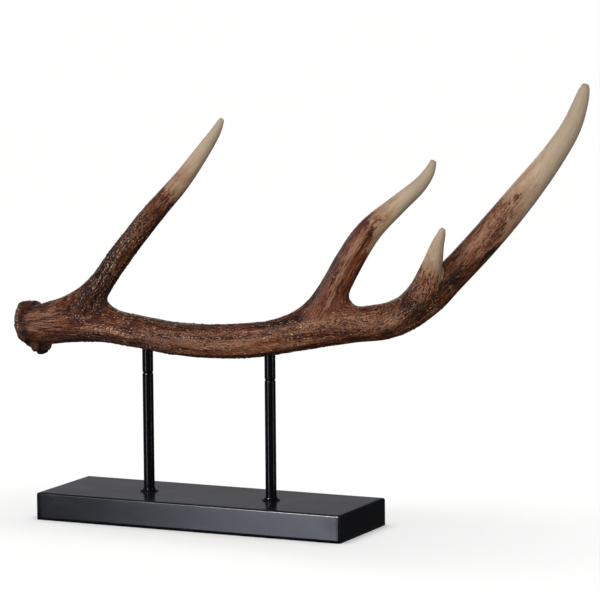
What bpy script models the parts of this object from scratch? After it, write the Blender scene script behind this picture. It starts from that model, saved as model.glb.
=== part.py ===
"""A shed antler with three tines, held on a black steel display stand by two posts."""
import math
import random

import bmesh
import bpy
import numpy as np
from mathutils import Matrix, Vector

# Driving dimensions, in metres. The origin is the centre of the base's underside,
# +X runs along the base from the antler's burr to its tip, +Y runs to the back and +Z is up.
MM = 0.001
GAP = 0.0003

BASE_LENGTH = 0.305
BASE_WIDTH = 0.100
BASE_HEIGHT = 0.025
BASE_SHEET = 0.0015
BASE_FOLD_RADIUS = 0.0025
BASE_FOLD_SEGMENTS = 3

POST_SPACING = 0.124
POST_RADIUS = 0.005
POST_BORE_RADIUS = 0.0035
POST_JOINT_HEIGHT = 0.134

PIN_NECK_RADIUS = 0.0042
PIN_NECK_HEIGHT = 0.0012
PIN_SPIGOT_LENGTH = 0.015
PIN_TOP_HEIGHT = 0.1687
PIN_CHAMFER = 0.0006

RING_RADIUS = 0.0082
RING_EDGE_HEIGHT = 0.0006
RING_TOP_HEIGHT = 0.0024
RING_TOP_WIDTH = 0.0004
RING_SWEEP_STEPS = 4

# Stations along the antler, in millimetres: x, y, z and the radius there
BEAM = [
    (-192, 14, 170, 18.6), (-184, 12, 171, 18.4), (-168, 10, 172, 17.0), (-142, 8, 174, 15.6),
    (-110, 4, 175.5, 15.3), (-78, 1, 172.5, 14.2), (-40, 0, 168, 14.4), (0, -2, 167, 14.7),
    (45, -1, 170, 15.2), (92, 1, 178.2, 14.6), (140, 4, 187.5, 15.2), (178, 8, 193.5, 15.8),
    (208, 12, 211, 14.3), (237.5, 17, 239.4, 13.8), (268, 24, 274, 13.4), (298, 33, 312, 12.3),
    (320, 38, 341.5, 10.2), (334.5, 43, 366, 8.5), (342.5, 46, 388, 6.3), (345.5, 47, 399, 4.5),
    (347, 47, 404.5, 2.4),
]
BROW_TINE = [
    (-134, 7, 176, 14.0), (-124, 4, 194, 12.4), (-110, 0, 213, 10.7), (-93.5, -4, 233, 10.1),
    (-72, -8, 257, 9.8), (-44, -14, 286, 9.2), (-17, -19, 312, 8.2), (10, -24, 343, 6.1),
    (24, -26, 361, 4.1), (30, -27, 371.5, 2.0),
]
TRAY_TINE = [
    (106, 3, 184, 14.5), (117, 4, 203, 14.0), (126.5, 6, 224, 12.6), (138, 9, 246, 11.9),
    (156, 13, 272.8, 10.7), (179.5, 17, 294.5, 8.6), (201.5, 20, 314, 6.5), (210, 21, 326, 4.4),
    (213.6, 22, 335.8, 2.4),
]
CROWN_TINE = [
    (180, 8, 192, 13.0), (199.5, 6, 207.5, 13.4), (212.7, 2, 223.5, 13.0), (221, -3, 240, 10.0),
    (226, -7, 253, 7.5), (231.3, -11, 266, 5.2), (236, -14, 275, 3.4), (237.8, -15, 280, 2.0),
]
# Webs of bone that flare from the beam into the first two tines, and the round crotches beyond them
BROW_WEB = [
    (-180, 10, 176, 13.5), (-150, 7, 187.5, 12.0), (-126, 3, 203, 9.2), (-100, -3, 228, 7.0),
    (-80, -7, 250, 6.0),
]
TRAY_WEB = [
    (62, 1, 177, 12.0), (86, 2, 186, 10.5), (104, 4, 200, 9.0), (118, 6, 221, 7.5), (131, 9, 244, 6.0),
]
BROW_CROTCH = [(-118, 3, 196, 7.5), (-106, 2, 191, 6.5), (-93, 1, 183, 5.5)]
TRAY_CROTCH = [(124, 5, 208, 9.0), (133.5, 6, 201.5, 8.2), (145, 6, 194, 6.0)]
# Smoothing the fused skin draws it in by about this much
SMOOTHING_ALLOWANCE = 0.6
PATH_STEP = 4.0
TUBE_BEVEL_RESOLUTION = 6

BURR_CENTRE = (-187.5, 12, 171.8)
# The way the shed face points: back along the beam, a little away and down
BURR_FACING = (-0.91, 0.32, -0.24)
BURR_RING_RADIUS = 18.7
BURR_RIM_RADIUS = 4.6
BURR_KNOBS = 24
BURR_KNOB_RADIUS = (2.6, 4.4)
BURR_KNOB_REACH = (2.0, 3.6)
BURR_KNOB_SHIFT = (-3.5, 2.0)
BURR_SEED = 7
SEAL_RADIUS = 20.0
SEAL_BULGE = 7.0
# Large lumps on the neck side of the ring, below: x, y, z and radius
BURR_LUMPS = [(-179, 13, 149.5, 6.0), (-173, 11, 152, 4.6), (-184, 18, 147, 5.0), (-181, 3, 151, 4.4)]

BALL_SEGMENTS = 16
BALL_RINGS = 10
WELD_DISTANCE = 0.00001

FUSE_VOXEL = 0.0022
FUSE_SMOOTH_STEPS = 6
ANTLER_TRIANGLES = 6900

# Lengthwise ridges on the beam, in millimetres: a coarse set and a finer one that sway as they run.
# They start past the burr, fade towards the beam's tip and die out where a point lies well off the beam.
RIDGE_COUNT = 9
FINE_RIDGE_COUNT = 14
RIDGE_HEIGHT = 0.5
RIDGE_SWAY = 1.5
RIDGE_WAVE_LENGTH = 90.0
RIDGE_START = 20.0
RIDGE_END = 430.0
RIDGE_FADE = 120.0
RIDGE_LEAST = 0.15
RIDGE_REACH = (1.2, 1.6)

SOCKET_RADIUS = POST_RADIUS + GAP
SOCKET_TOP = PIN_TOP_HEIGHT + GAP
SOCKET_CUT_START = 0.145

# Each tine is parted from the beam by a plane: a point on it and the tine's direction there, in
# millimetres.
# The last two numbers are how far the parting reaches towards the beam's tip and towards its burr.
TINE_CUTS = {
    "brow_tine": ((-111, 1, 211), (0.62, -0.16, 0.77), 21, 34),
    "tray_tine": ((125, 6, 221), (0.57, 0.10, 0.82), 18, 34),
    "crown_tine": ((220, -2, 237), (0.30, -0.27, 0.91), 10, 34),
}
TINE_CUT_LENGTH = 300
TINE_CUT_DEPTH = 70
# The crown tine's box is turned so that its side lies in the crotch between that tine and the beam
CROWN_SIDE = (0.593, 0.805, 0.0)

TURNED_STEPS = 24


def clear_scene():
    for scene_object in list(bpy.data.objects):
        bpy.data.objects.remove(scene_object, do_unlink=True)


def new_collection(name):
    collection = bpy.data.collections.new(name)
    bpy.context.scene.collection.children.link(collection)
    return collection


def new_material(name, color, roughness, metallic):
    material = bpy.data.materials.new(name)
    material.use_nodes = True
    shader = material.node_tree.nodes["Principled BSDF"]
    shader.inputs["Base Color"].default_value = (*color, 1.0)
    shader.inputs["Roughness"].default_value = roughness
    shader.inputs["Metallic"].default_value = metallic
    return material


def new_object(name, mesh, collection, material=None):
    made = bpy.data.objects.new(name, mesh)
    collection.objects.link(made)
    if material:
        mesh.materials.append(material)
    return made


def shade_round(mesh, angle=40):
    mesh.shade_smooth()
    mesh.set_sharp_from_angle(angle=math.radians(angle))


def box_mesh(name, size, centre):
    mesh = bpy.data.meshes.new(name)
    shape = bmesh.new()
    placed = Matrix.Translation(centre) @ Matrix.Diagonal((*size, 1.0))
    bmesh.ops.create_cube(shape, size=1.0, matrix=placed)
    shape.to_mesh(mesh)
    shape.free()
    return mesh


def round_edges(shape, edges):
    bmesh.ops.bevel(
        shape,
        geom=edges,
        offset=BASE_FOLD_RADIUS,
        segments=BASE_FOLD_SEGMENTS,
        profile=0.5,
        affect="EDGES",
    )


def frame_matrix(origin, forward, side):
    """A frame whose Z runs forward and whose X points to the side."""
    z_axis = Vector(forward).normalized()
    x_axis = (Vector(side) - z_axis * Vector(side).dot(z_axis)).normalized()
    y_axis = z_axis.cross(x_axis)
    frame = Matrix((x_axis, y_axis, z_axis)).transposed().to_4x4()
    frame.translation = Vector(origin) * MM
    return frame


def evaluated_copy(source, name):
    """A mesh of what the object's modifiers make."""
    depsgraph = bpy.context.evaluated_depsgraph_get()
    mesh = bpy.data.meshes.new_from_object(source.evaluated_get(depsgraph), depsgraph=depsgraph)
    mesh.name = name
    return mesh


# The stand

def make_base_cover(parts, steel):
    """The folded sheet box of the base, open below."""
    mesh = box_mesh("base_cover", (BASE_LENGTH, BASE_WIDTH, BASE_HEIGHT), (0, 0, BASE_HEIGHT / 2))
    shape = bmesh.new()
    shape.from_mesh(mesh)
    underside = [face for face in shape.faces if face.normal.z < -0.5]
    bmesh.ops.delete(shape, geom=underside, context="FACES_ONLY")
    folds = [edge for edge in shape.edges if len(edge.link_faces) == 2]
    round_edges(shape, folds)
    shape.to_mesh(mesh)
    shape.free()
    cover = new_object("base_cover", mesh, parts, steel)
    wall = cover.modifiers.new("sheet", "SOLIDIFY")
    wall.thickness = BASE_SHEET
    wall.offset = -1
    wall.use_even_offset = True
    shade_round(mesh)
    return cover


def make_base_bottom(parts, steel):
    """The flat plate that closes the base, flush with the cover's rim."""
    inside = BASE_SHEET + GAP
    size = (BASE_LENGTH - 2 * inside, BASE_WIDTH - 2 * inside, BASE_SHEET)
    mesh = box_mesh("base_bottom_plate", size, (0, 0, BASE_SHEET / 2))
    shape = bmesh.new()
    shape.from_mesh(mesh)
    corners = [edge for edge in shape.edges if abs((edge.verts[0].co - edge.verts[1].co).z) > BASE_SHEET / 2]
    round_edges(shape, corners)
    shape.to_mesh(mesh)
    shape.free()
    return new_object("base_bottom_plate", mesh, parts, steel)


def make_turned(name, profile, x, parts, material):
    """A turned piece on a post's axis from its radius and height pairs, outer side first, top to bottom."""
    mesh = bpy.data.meshes.new(name)
    points = [(radius, 0.0, height) for radius, height in profile]
    edges = [(index, (index + 1) % len(points)) for index in range(len(points))]
    if profile[0][0] == 0.0:
        edges.pop()
    mesh.from_pydata(points, edges, [])
    turned = new_object(name, mesh, parts, material)
    turned.location.x = x
    screw = turned.modifiers.new("turn", "SCREW")
    screw.steps = TURNED_STEPS
    screw.render_steps = TURNED_STEPS
    screw.use_merge_vertices = True
    screw.merge_threshold = WELD_DISTANCE
    screw.use_smooth_shade = True
    return turned


def post_profile():
    foot = BASE_HEIGHT + GAP
    return [
        (POST_RADIUS, POST_JOINT_HEIGHT),
        (POST_RADIUS, foot),
        (POST_BORE_RADIUS, foot),
        (POST_BORE_RADIUS, POST_JOINT_HEIGHT),
    ]


def pin_profile():
    """The upper pin: a plain top in the antler, a neck at the joint and a spigot in the tube."""
    spigot_radius = POST_BORE_RADIUS - GAP
    joint = POST_JOINT_HEIGHT + GAP
    return [
        (0.0, PIN_TOP_HEIGHT),
        (POST_RADIUS - PIN_CHAMFER, PIN_TOP_HEIGHT),
        (POST_RADIUS, PIN_TOP_HEIGHT - PIN_CHAMFER),
        (POST_RADIUS, joint + PIN_NECK_HEIGHT + PIN_CHAMFER),
        (PIN_NECK_RADIUS, joint + PIN_NECK_HEIGHT),
        (PIN_NECK_RADIUS, joint),
        (spigot_radius, joint),
        (spigot_radius, joint - PIN_SPIGOT_LENGTH),
        (0.0, joint - PIN_SPIGOT_LENGTH),
    ]


def ring_profile():
    """The weld ring at a post's foot: a thin lip that sweeps up to the post."""
    inner = POST_RADIUS + GAP
    bottom = BASE_HEIGHT + GAP
    sweep = []
    for step in range(RING_SWEEP_STEPS + 1):
        turn = math.radians(90 * step / RING_SWEEP_STEPS)
        radius = RING_RADIUS - (RING_RADIUS - inner - RING_TOP_WIDTH) * math.sin(turn)
        height = RING_TOP_HEIGHT - (RING_TOP_HEIGHT - RING_EDGE_HEIGHT) * math.cos(turn)
        sweep.append((radius, bottom + height))
    outer_side = [(inner, bottom + RING_TOP_HEIGHT)] + sweep[::-1]
    return outer_side + [(RING_RADIUS, bottom), (inner, bottom)]


# The antler

def smooth_path(stations, step):
    """Points about a step apart on a smooth curve through the stations, with the radius at each."""
    known = np.array(stations, float)
    known = np.vstack([2 * known[0] - known[1], known, 2 * known[-1] - known[-2]])
    found = []
    for a, b, c, d in zip(known, known[1:], known[2:], known[3:]):
        spans = [math.sqrt(np.linalg.norm((q - p)[:3])) for p, q in ((a, b), (b, c), (c, d))]
        t0, t1, t2, t3 = np.cumsum([0.0] + spans)
        count = max(2, round(np.linalg.norm((c - b)[:3]) / step))
        for t in np.linspace(t1, t2, count, endpoint=False):
            ab = (a * (t1 - t) + b * (t - t0)) / (t1 - t0)
            bc = (b * (t2 - t) + c * (t - t1)) / (t2 - t1)
            cd = (c * (t3 - t) + d * (t - t2)) / (t3 - t2)
            abc = (ab * (t2 - t) + bc * (t - t0)) / (t2 - t0)
            bcd = (bc * (t3 - t) + cd * (t - t1)) / (t3 - t1)
            found.append((abc * (t2 - t) + bcd * (t - t1)) / (t2 - t1))
    found.append(known[-2])
    return np.array(found)


def add_limb(shape, stations):
    """Adds a closed tube of changing radius through the stations to the antler's rough shape."""
    path = smooth_path(stations, PATH_STEP)
    curve = bpy.data.curves.new("limb", "CURVE")
    curve.dimensions = "3D"
    curve.bevel_depth = MM
    curve.bevel_resolution = TUBE_BEVEL_RESOLUTION
    curve.use_fill_caps = True
    spline = curve.splines.new("POLY")
    spline.points.add(len(path) - 1)
    for point, (x, y, z, radius) in zip(spline.points, path):
        point.co = (x * MM, y * MM, z * MM, 1.0)
        point.radius = radius + SMOOTHING_ALLOWANCE
    limb = bpy.data.objects.new("limb", curve)
    bpy.context.scene.collection.objects.link(limb)
    mesh = evaluated_copy(limb, "limb")
    bpy.data.objects.remove(limb, do_unlink=True)
    shape.from_mesh(mesh)
    bpy.data.meshes.remove(mesh)


def add_ball(shape, radius, frame):
    bmesh.ops.create_uvsphere(
        shape,
        u_segments=BALL_SEGMENTS,
        v_segments=BALL_RINGS,
        radius=radius * MM,
        matrix=frame,
    )


def add_burr(shape):
    """The knobbly ring round the antler's base and the shed face inside it."""
    draw = random.Random(BURR_SEED)
    frame = frame_matrix(BURR_CENTRE, BURR_FACING, (0.0, 0.0, 1.0))
    for index in range(BURR_KNOBS):
        turn = math.tau * (index + draw.uniform(-0.25, 0.25)) / BURR_KNOBS
        outward = Vector((math.cos(turn), math.sin(turn), 0.0)) * MM
        rim = outward * BURR_RING_RADIUS
        add_ball(shape, BURR_RIM_RADIUS, frame @ Matrix.Translation(rim))
        knob = rim + outward * draw.uniform(*BURR_KNOB_REACH)
        knob.z = draw.uniform(*BURR_KNOB_SHIFT) * MM
        add_ball(shape, draw.uniform(*BURR_KNOB_RADIUS), frame @ Matrix.Translation(knob))
    seal = Matrix.Diagonal((1.0, 1.0, SEAL_BULGE / SEAL_RADIUS, 1.0))
    add_ball(shape, SEAL_RADIUS, frame @ seal)
    for x, y, z, radius in BURR_LUMPS:
        add_ball(shape, radius, Matrix.Translation(Vector((x, y, z)) * MM))


def ridge_offsets(points):
    """How far the lengthwise ridges lift each point, in millimetres."""
    path = smooth_path(BEAM, PATH_STEP)
    centres = path[:, :3]
    along = np.concatenate([[0.0], np.cumsum(np.linalg.norm(np.diff(centres, axis=0), axis=1))])
    tangents = np.gradient(centres, axis=0)
    tangents /= np.linalg.norm(tangents, axis=1)[:, None]
    front = np.array([0.0, -1.0, 0.0]) + tangents * tangents[:, 1:2]
    front /= np.linalg.norm(front, axis=1)[:, None]
    upward = np.cross(front, tangents)
    nearest = np.array([np.argmin(np.sum((centres - point) ** 2, axis=1)) for point in points])
    spoke = points - centres[nearest]
    around = np.arctan2(np.sum(spoke * upward[nearest], axis=1), np.sum(spoke * front[nearest], axis=1))
    reach = along[nearest]
    sway = RIDGE_SWAY * np.sin(reach / RIDGE_WAVE_LENGTH)
    crest = np.cos(RIDGE_COUNT * around + sway) + 0.5 * np.cos(FINE_RIDGE_COUNT * around - sway)
    near, far = RIDGE_REACH
    on_beam = np.clip((far - np.linalg.norm(spoke, axis=1) / path[nearest, 3]) / (far - near), 0.0, 1.0)
    fade_in = np.clip(reach / RIDGE_START, 0.0, 1.0)
    fade_out = np.clip((RIDGE_END - reach) / RIDGE_FADE, RIDGE_LEAST, 1.0)
    return RIDGE_HEIGHT * crest * on_beam * fade_in * fade_out


def make_antler_blank():
    """The whole antler as one closed faceted skin."""
    shape = bmesh.new()
    for stations in (BEAM, BROW_TINE, TRAY_TINE, CROWN_TINE, BROW_WEB, TRAY_WEB, BROW_CROTCH, TRAY_CROTCH):
        add_limb(shape, stations)
    add_burr(shape)
    bmesh.ops.remove_doubles(shape, verts=shape.verts, dist=WELD_DISTANCE)
    rough = bpy.data.meshes.new("antler_rough")
    shape.to_mesh(rough)
    shape.free()
    holder = bpy.data.objects.new("antler_rough", rough)
    bpy.context.scene.collection.objects.link(holder)
    fuse = holder.modifiers.new("fuse", "REMESH")
    fuse.mode = "VOXEL"
    fuse.voxel_size = FUSE_VOXEL
    soften = holder.modifiers.new("soften", "SMOOTH")
    soften.factor = 0.5
    soften.iterations = FUSE_SMOOTH_STEPS
    fused = evaluated_copy(holder, "antler_fused")
    holder.modifiers.clear()
    holder.data = fused
    bpy.data.meshes.remove(rough)

    points = np.empty(len(fused.vertices) * 3)
    normals = np.empty(len(fused.vertices) * 3)
    fused.vertices.foreach_get("co", points)
    fused.vertices.foreach_get("normal", normals)
    points = points.reshape(-1, 3)
    normals = normals.reshape(-1, 3)
    lifted = points + normals * ridge_offsets(points / MM)[:, None] * MM
    fused.vertices.foreach_set("co", lifted.ravel())
    fused.update()

    thin = holder.modifiers.new("thin", "DECIMATE")
    thin.ratio = ANTLER_TRIANGLES / (2 * len(fused.polygons))
    blank = evaluated_copy(holder, "antler_blank")
    bpy.data.objects.remove(holder, do_unlink=True)
    return blank


def make_cutter(name, mesh, cutters, matrix=None):
    cutter = new_object(name, mesh, cutters)
    if matrix:
        cutter.matrix_world = matrix
    cutter.hide_render = True
    cutter.display_type = "WIRE"
    return cutter


def make_tine_cutters(cutters):
    """For each tine, a box that keeps it and a slightly larger one that clears it from the beam."""
    made = {}
    for name, (origin, forward, ahead, behind) in TINE_CUTS.items():
        side = CROWN_SIDE if name == "crown_tine" else (1.0, 0.0, 0.0)
        frame = frame_matrix(origin, forward, side)
        for use, grow in (("keep", 0.0), ("clear", GAP)):
            low_x = -behind * MM - grow
            high_x = ahead * MM + grow
            size = (high_x - low_x, TINE_CUT_DEPTH * MM + 2 * grow, TINE_CUT_LENGTH * MM + 2 * grow)
            centre = ((low_x + high_x) / 2, 0.0, TINE_CUT_LENGTH * MM / 2)
            mesh = box_mesh(f"{name}_{use}", size, centre)
            made[name, use] = make_cutter(f"{name}_{use}", mesh, cutters, frame)
    return made


def make_socket_cutters(cutters):
    made = []
    for name, x in (("socket_left", -POST_SPACING / 2), ("socket_right", POST_SPACING / 2)):
        mesh = bpy.data.meshes.new(name)
        shape = bmesh.new()
        bmesh.ops.create_cone(
            shape,
            cap_ends=True,
            segments=TURNED_STEPS,
            radius1=SOCKET_RADIUS,
            radius2=SOCKET_RADIUS,
            depth=SOCKET_TOP - SOCKET_CUT_START,
            matrix=Matrix.Translation((0.0, 0.0, (SOCKET_TOP + SOCKET_CUT_START) / 2)),
        )
        shape.to_mesh(mesh)
        shape.free()
        made.append(make_cutter(name, mesh, cutters, Matrix.Translation((x, 0.0, 0.0))))
    return made


def add_boolean(target, cutter, operation):
    cut = target.modifiers.new(cutter.name, "BOOLEAN")
    cut.object = cutter
    cut.operation = operation
    cut.solver = "EXACT"


def make_antler(parts, cutters, material):
    """The beam and its three tines, parted at the forks, with two sockets for the pins."""
    blank = make_antler_blank()
    tine_cutters = make_tine_cutters(cutters)
    beam = new_object("beam", blank, parts, material)
    for name in TINE_CUTS:
        tine = new_object(name, blank.copy(), parts)
        add_boolean(tine, tine_cutters[name, "keep"], "INTERSECT")
        shade_round(tine.data, 60)
        add_boolean(beam, tine_cutters[name, "clear"], "DIFFERENCE")
    for cutter in make_socket_cutters(cutters):
        add_boolean(beam, cutter, "DIFFERENCE")
    shade_round(beam.data, 60)


def main():
    clear_scene()
    parts = new_collection("mounted_antler")
    cutters = new_collection("mounted_antler_cutters")
    steel = new_material("black_painted_steel", (0.030, 0.031, 0.035), 0.38, 0.3)
    post_paint = new_material("black_gloss_post", (0.012, 0.012, 0.013), 0.25, 0.3)
    bone = new_material("antler_bone", (0.13, 0.062, 0.035), 0.55, 0.0)
    make_base_cover(parts, steel)
    make_base_bottom(parts, steel)
    for side, x in (("left", -POST_SPACING / 2), ("right", POST_SPACING / 2)):
        make_turned(f"post_{side}", post_profile(), x, parts, post_paint)
        make_turned(f"pin_{side}", pin_profile(), x, parts, post_paint)
        make_turned(f"foot_ring_{side}", ring_profile(), x, parts, post_paint)
    make_antler(parts, cutters, bone)


main()
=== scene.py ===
import math
import random

import bmesh
import bpy
import numpy as np
from mathutils import Matrix, Vector, kdtree


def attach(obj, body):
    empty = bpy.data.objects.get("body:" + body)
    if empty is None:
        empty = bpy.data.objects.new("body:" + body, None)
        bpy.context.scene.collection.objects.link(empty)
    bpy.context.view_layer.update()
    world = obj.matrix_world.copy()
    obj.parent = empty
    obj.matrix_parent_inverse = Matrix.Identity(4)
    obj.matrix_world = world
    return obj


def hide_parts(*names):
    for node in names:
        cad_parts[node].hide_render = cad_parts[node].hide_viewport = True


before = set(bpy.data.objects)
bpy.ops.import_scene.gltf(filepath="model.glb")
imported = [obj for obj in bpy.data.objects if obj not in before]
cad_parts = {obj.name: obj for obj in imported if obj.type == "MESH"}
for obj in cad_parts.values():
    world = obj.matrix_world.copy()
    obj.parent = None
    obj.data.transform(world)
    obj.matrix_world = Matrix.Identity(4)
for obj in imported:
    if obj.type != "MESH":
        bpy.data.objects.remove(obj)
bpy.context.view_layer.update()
mm = 0.001


def tone(red, green, blue):
    # tones are given as screen levels from 0 to 255; shaders want linear light
    levels = [level / 255 for level in (red, green, blue)]
    linear = [level / 12.92 if level < 0.0405 else ((level + 0.055) / 1.055) ** 2.4 for level in levels]
    return (*linear, 1.0)


class Wire:
    # a socket that can be used in sums; every operator adds a Math node
    def __init__(self, finish, socket):
        self.finish = finish
        self.socket = socket

    def maths(self, operation, first, second=0.0, clamp=False):
        settings = {"operation": operation, "use_clamp": clamp}
        return self.finish.node("ShaderNodeMath", settings, {0: first, 1: second})

    def __add__(self, other):
        return self.maths("ADD", self, other)

    def __sub__(self, other):
        return self.maths("SUBTRACT", self, other)

    def __rsub__(self, other):
        return self.maths("SUBTRACT", other, self)

    def __mul__(self, other):
        return self.maths("MULTIPLY", self, other)

    __radd__ = __add__
    __rmul__ = __mul__

    def clamped(self):
        return self.maths("ADD", self, 0.0, clamp=True)

    def ramp(self, low, high):
        # 0 below low, 1 above high, smooth between
        settings = {"interpolation_type": "SMOOTHSTEP"}
        sockets = {"Value": self, "From Min": low, "From Max": high}
        return self.finish.node("ShaderNodeMapRange", settings, sockets)


class Finish:
    # the node tree of one material or of the world, and the way its nodes are added
    def __init__(self, owner):
        owner.use_nodes = True
        self.owner = owner
        self.tree = owner.node_tree
        self.tree.nodes.clear()

    def node(self, kind, settings=None, sockets=None, output=0):
        made = self.tree.nodes.new(kind)
        count = len(self.tree.nodes)
        made.location = (count % 10 * 240 - 2600, 900 - count // 10 * 280)
        for name, value in (settings or {}).items():
            if name == "stops":
                placeStops(made.color_ramp, value)
            else:
                setattr(made, name, value)
        for name, value in (sockets or {}).items():
            if isinstance(value, Wire):
                self.tree.links.new(value.socket, made.inputs[name])
            else:
                made.inputs[name].default_value = value
        return None if output is None else Wire(self, made.outputs[output])

    def number(self, attribute):
        return self.node("ShaderNodeAttribute", {"attribute_name": attribute}, output=2)

    def place(self, attribute):
        return self.node("ShaderNodeAttribute", {"attribute_name": attribute}, output=1)

    def scaled(self, vector, scale):
        return self.node("ShaderNodeVectorMath", {"operation": "MULTIPLY"}, {0: vector, 1: scale})

    def mixed(self, factor, first, second):
        return self.node("ShaderNodeMix", {"data_type": "RGBA"}, {0: factor, 6: first, 7: second}, output=2)

    def noise(self, vector, scale=1.0, detail=2.0, roughness=0.5):
        sockets = {"Vector": vector, "Scale": scale, "Detail": detail, "Roughness": roughness}
        return self.node("ShaderNodeTexNoise", None, sockets)

    def beads(self, vector, scale=1.0):
        return self.node("ShaderNodeTexVoronoi", None, {"Vector": vector, "Scale": scale})

    def bump(self, height, strength, distance):
        sockets = {"Height": height, "Strength": strength, "Distance": distance}
        return self.node("ShaderNodeBump", None, sockets)

    def done(self, **sockets):
        named = {name.replace("_", " "): value for name, value in sockets.items()}
        surface = self.node("ShaderNodeBsdfPrincipled", None, named)
        self.node("ShaderNodeOutputMaterial", None, {"Surface": surface}, output=None)
        return self.owner


def placeStops(ramp, stops):
    while len(ramp.elements) > 1:
        ramp.elements.remove(ramp.elements[-1])
    for index, (position, colour) in enumerate(stops):
        element = ramp.elements[0] if index == 0 else ramp.elements.new(position)
        element.position = position
        element.color = colour


def newFinish(name):
    return Finish(bpy.data.materials.new(name))


def addObject(name, data, material=None):
    made = bpy.data.objects.new(name, data)
    bpy.context.scene.collection.objects.link(made)
    if material:
        data.materials.append(material)
    return made


# what each lamp may fall on
litPieces = {name: bpy.data.collections.new(name + "Pieces") for name in ("antler", "stand", "both")}


def litWith(piece, name):
    litPieces[name].objects.link(piece)
    litPieces["both"].objects.link(piece)


def bakedMesh(source, name):
    # the mesh that the object's modifiers give
    depsgraph = bpy.context.evaluated_depsgraph_get()
    mesh = bpy.data.meshes.new_from_object(source.evaluated_get(depsgraph), depsgraph=depsgraph)
    mesh.name = name
    return mesh


def meshFrom(shape, name):
    # turns a finished shape into a mesh whose faces all look outwards
    bmesh.ops.recalc_face_normals(shape, faces=shape.faces)
    mesh = bpy.data.meshes.new(name)
    shape.to_mesh(mesh)
    shape.free()
    return mesh


def readPoints(mesh, field="co", unit=mm):
    # one row for each point, in millimetres
    values = np.empty(len(mesh.vertices) * 3)
    mesh.vertices.foreach_get(field, values)
    return values.reshape(-1, 3) / unit


def readNormals(mesh):
    return readPoints(mesh, "normal", 1.0)


def writePoints(mesh, points):
    mesh.vertices.foreach_set("co", (points * mm).ravel())
    mesh.update()


def keep(mesh, name, values):
    # stores a number or a place at each point for the material to read
    values = np.asarray(values, np.float32)
    kind, field = ("FLOAT", "value") if values.ndim == 1 else ("FLOAT_VECTOR", "vector")
    mesh.attributes.new(name, kind, "POINT").data.foreach_set(field, values.ravel())


def smoothStep(values, low, high):
    part = np.clip((values - low) / (high - low), 0.0, 1.0)
    return part * part * (3 - 2 * part)


def lumps(points, seed):
    # smooth noise from -1 to 1 at each row of points, one lump to a unit
    cell = np.floor(points).astype(np.int64)
    part = points - cell
    part = part * part * (3 - 2 * part)
    total = np.zeros(len(points))
    for step in np.ndindex(2, 2, 2):
        at = cell + step
        key = at[:, 0] * 73856093 ^ at[:, 1] * 19349663 ^ at[:, 2] * 83492791 ^ seed * 15485863
        key = ((key ^ key >> 13) * 1274126177) & 0x7FFFFFFF
        key = ((key ^ key >> 15) * 1103515245) & 0x7FFFFFFF
        weight = np.ones(len(points))
        for axis in range(3):
            weight = weight * (part[:, axis] if step[axis] else 1 - part[:, axis])
        total += weight * (key / 0x40000000 - 1)
    return total


# the antler, in millimetres: x, y, z and radius of each station along a limb
antlerPlan = {
    "beam": [
        (-192, 14, 170, 18.6), (-184, 12, 171, 18.4), (-168, 10, 172, 17), (-142, 8, 174, 15.6),
        (-110, 4, 175.5, 15.3), (-78, 1, 172.5, 14.2), (-40, 0, 168, 14.4), (0, -2, 167, 14.7),
        (45, -1, 170, 15.2), (92, 1, 178.2, 14.6), (140, 4, 187.5, 15.2), (178, 8, 193.8, 15.5),
        (207.8, 12, 211, 14.8), (237.2, 17, 239.7, 13.3), (268, 24, 274, 13.4), (298, 33, 312, 12.3),
        (320, 38, 341.5, 10.2), (334.5, 43, 366, 8.5), (342.5, 46, 388, 6.3), (345.5, 47, 399, 4.5),
        (347, 47, 404.5, 2.4),
    ],
    "brow": [
        (-134, 7, 176, 14), (-124, 4, 194, 12.4), (-110, 0, 213, 10.7), (-93.5, -4, 233, 10.1),
        (-72, -8, 257, 9.8), (-44, -14, 286, 9.2), (-17, -19, 312, 8.2), (10, -24, 343, 6.1),
        (24, -26, 361, 4.1), (30, -27, 371.5, 2),
    ],
    "tray": [
        (106, 3, 184, 14.5), (117, 4, 203, 14), (126.5, 6, 224, 12.6), (138, 9, 246, 11.9),
        (156, 13, 272.8, 10.7), (179.3, 17, 294.5, 8.3), (201.2, 20, 314, 6.2), (210, 21, 326, 4.4),
        (213.6, 22, 335.8, 2.4),
    ],
    "crown": [
        (180, 8, 192, 14.2), (199.5, 6, 207.5, 14), (212.7, 2, 223.5, 12.3), (221, -3, 240, 9.9),
        (226, -7, 253, 7.5), (231.3, -11, 266, 5.2), (236, -14, 275, 3.4), (237.8, -15, 280, 2),
    ],
    "webs": [
        [(-180, 10, 176, 13.5), (-150, 7, 187.5, 12), (-126, 3, 203, 9.2), (-100, -3, 228, 7),
         (-80, -7, 250, 6)],
        [(62, 1, 175.8, 11.6), (86, 2, 186, 10.5), (104, 4, 200, 9), (118, 6, 221, 7.5),
         (131, 9, 244, 6)],
        [(-118, 3, 196, 7.5), (-106, 2, 191, 6.5), (-93, 1, 183, 5.5)],
        [(122, 5, 214, 10), (126, 5, 206, 10.6), (134, 6, 199.5, 10.2), (146, 6, 193.5, 7.5)],
    ],
    "limbStep": 3.0,
    "routeStep": 1.5,
    "extraRadius": 0.6,         # what the softening takes off the skin
    "voxel": 0.85,
    "softenAll": 36,
    "softenForks": 190,
    # where limbs part: a middle point and how far the extra softening reaches
    "forks": [((-95, 0, 193), 14), ((142, 5, 209), 15), ((191, 5, 216), 18), ((226, 2, 238), 12)],
    "triangles": 188000,
}

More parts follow.
